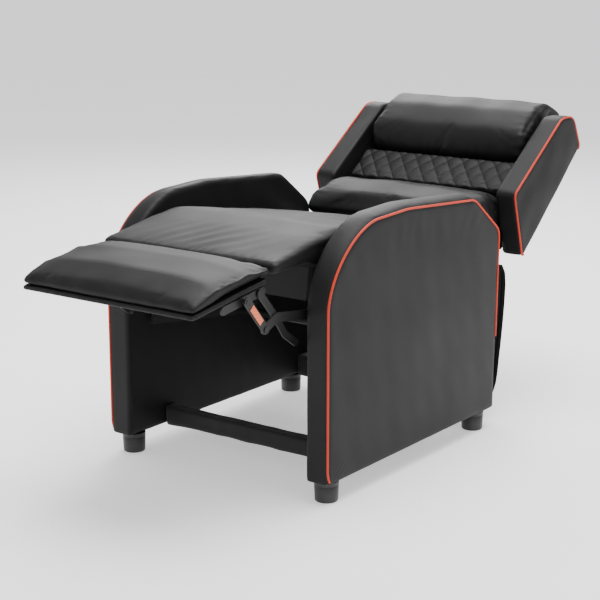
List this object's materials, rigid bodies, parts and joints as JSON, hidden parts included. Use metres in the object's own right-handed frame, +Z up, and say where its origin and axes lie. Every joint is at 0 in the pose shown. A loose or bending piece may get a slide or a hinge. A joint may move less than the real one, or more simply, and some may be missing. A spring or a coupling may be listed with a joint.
{
  "type": "gaming chair",
  "caption": "Low push-back recliner with padded arms, folding footrest, swinging seat and a reclining winged back with a quilted panel and head pillow.",
  "frame": {"origin": "centre of the footprint on the floor, with the chair reclined and the footrest out", "axes": "+Z up, -Y the way the sitter faces, +X the arm on the sitter's left"},
  "size_m": [0.66, 1.6162, 0.8076],
  "materials": {
    "leather": "satin",
    "piping": "satin",
    "nonwoven": "matte",
    "wood": "matte",
    "steel": "satin",
    "spring_wire": "satin",
    "plastic": "satin",
    "rubber": "matte",
    "label": "matte"
  },
  "bodies": {
    "base": {"left_arm_frame": "wood", "right_arm_frame": "wood", "left_arm_cover": "leather", "right_arm_cover": "leather", "left_arm_piping": "piping", "right_arm_piping": "piping", "left_front_foot": "plastic", "right_front_foot": "plastic", "left_rear_foot": "plastic", "right_rear_foot": "plastic", "left_base_plate": "steel", "right_base_plate": "steel", "front_rail": "nonwoven", "rear_rail": "nonwoven", "rear_skirt": "nonwoven"},
    "back": {"left_back_post": "wood", "right_back_post": "wood", "left_back_bracket": "steel", "right_back_bracket": "steel", "left_wing": "leather", "right_wing": "leather", "left_wing_piping": "piping", "right_wing_piping": "piping", "back_top_rail": "wood", "rear_panel": "nonwoven", "lumbar_cushion": "leather", "quilted_panel": "leather", "head_pillow": "leather"},
    "front_swing_links": {"left_front_swing_link": "steel", "right_front_swing_link": "steel"},
    "seat": {"left_seat_plate": "steel", "right_seat_plate": "steel", "left_seat_rail": "wood", "right_seat_rail": "wood", "seat_front_rail": "nonwoven", "seat_rear_rail": "wood", "seat_spring_1": "spring_wire", "seat_spring_2": "spring_wire", "seat_spring_3": "spring_wire", "seat_cushion": "leather"},
    "rear_swing_links": {"left_rear_swing_link": "steel", "right_rear_swing_link": "steel", "torque_tube": "steel"},
    "drive_links": {"left_drive_link": "steel", "right_drive_link": "steel"},
    "footrest": {"chaise_pad": "leather", "footrest_pad": "leather", "footrest_board": "leather", "left_footrest_bracket": "steel", "right_footrest_bracket": "steel", "left_bumper": "rubber", "right_bumper": "rubber"},
    "main_links": {"left_main_link": "steel", "right_main_link": "steel"},
    "cross_links": {"left_cross_link": "steel", "right_cross_link": "steel"},
    "front_links": {"left_front_link": "steel", "right_front_link": "steel", "warning_label": "label"}
  },
  "joints": [
    {"name": "back_recline", "type": "hinge", "parent": "base", "child": "back", "pos_m": [0, 0.26, 0.335], "axis": [1, 0, 0], "range_deg": [0, 40]},
    {"name": "front_swing", "type": "hinge", "parent": "base", "child": "front_swing_links", "pos_m": [0, -0.3589, 0.33684], "axis": [1, 0, 0], "range_deg": [-36.51, 0]},
    {"name": "seat_swing", "type": "hinge", "parent": "front_swing_links", "child": "seat", "pos_m": [0, -0.25, 0.44], "axis": [1, 0, 0], "range_deg": [0, 36.51]},
    {"name": "rear_swing", "type": "hinge", "parent": "base", "child": "rear_swing_links", "pos_m": [0, -0.0389, 0.29684], "axis": [1, 0, 0], "range_deg": [-36.51, 0]},
    {"name": "seat_drive", "type": "hinge", "parent": "back", "child": "drive_links", "pos_m": [0, 0.25, 0.275], "axis": [1, 0, 0], "range_deg": [0, 9.51]},
    {"name": "footrest_fold", "type": "hinge", "parent": "seat", "child": "footrest", "pos_m": [0, -0.405, 0.545], "axis": [1, 0, 0], "range_deg": [0, 82]},
    {"name": "main_link_swing", "type": "hinge", "parent": "seat", "child": "main_links", "pos_m": [0, -0.3901, 0.428], "axis": [1, 0, 0], "range_deg": [0, 114.65]},
    {"name": "cross_link_swing", "type": "hinge", "parent": "main_links", "child": "cross_links", "pos_m": [0, -0.5303, 0.4469], "axis": [1, 0, 0], "range_deg": [-122.6, 0]},
    {"name": "front_link_swing", "type": "hinge", "parent": "main_links", "child": "front_links", "pos_m": [0, -0.577, 0.4292], "axis": [1, 0, 0], "range_deg": [-96.36, 0]}
  ],
  "couplings": [
    {"joint": "front_swing", "follows": "back_recline", "ratio": -0.91242},
    {"joint": "seat_swing", "follows": "back_recline", "ratio": 0.91242},
    {"joint": "rear_swing", "follows": "back_recline", "ratio": -0.91242},
    {"joint": "seat_drive", "follows": "back_recline", "ratio": 0.23738},
    {"joint": "main_link_swing", "follows": "footrest_fold", "ratio": 1.3981},
    {"joint": "cross_link_swing", "follows": "footrest_fold", "ratio": -1.495},
    {"joint": "front_link_swing", "follows": "footrest_fold", "ratio": -1.1751}
  ]
}
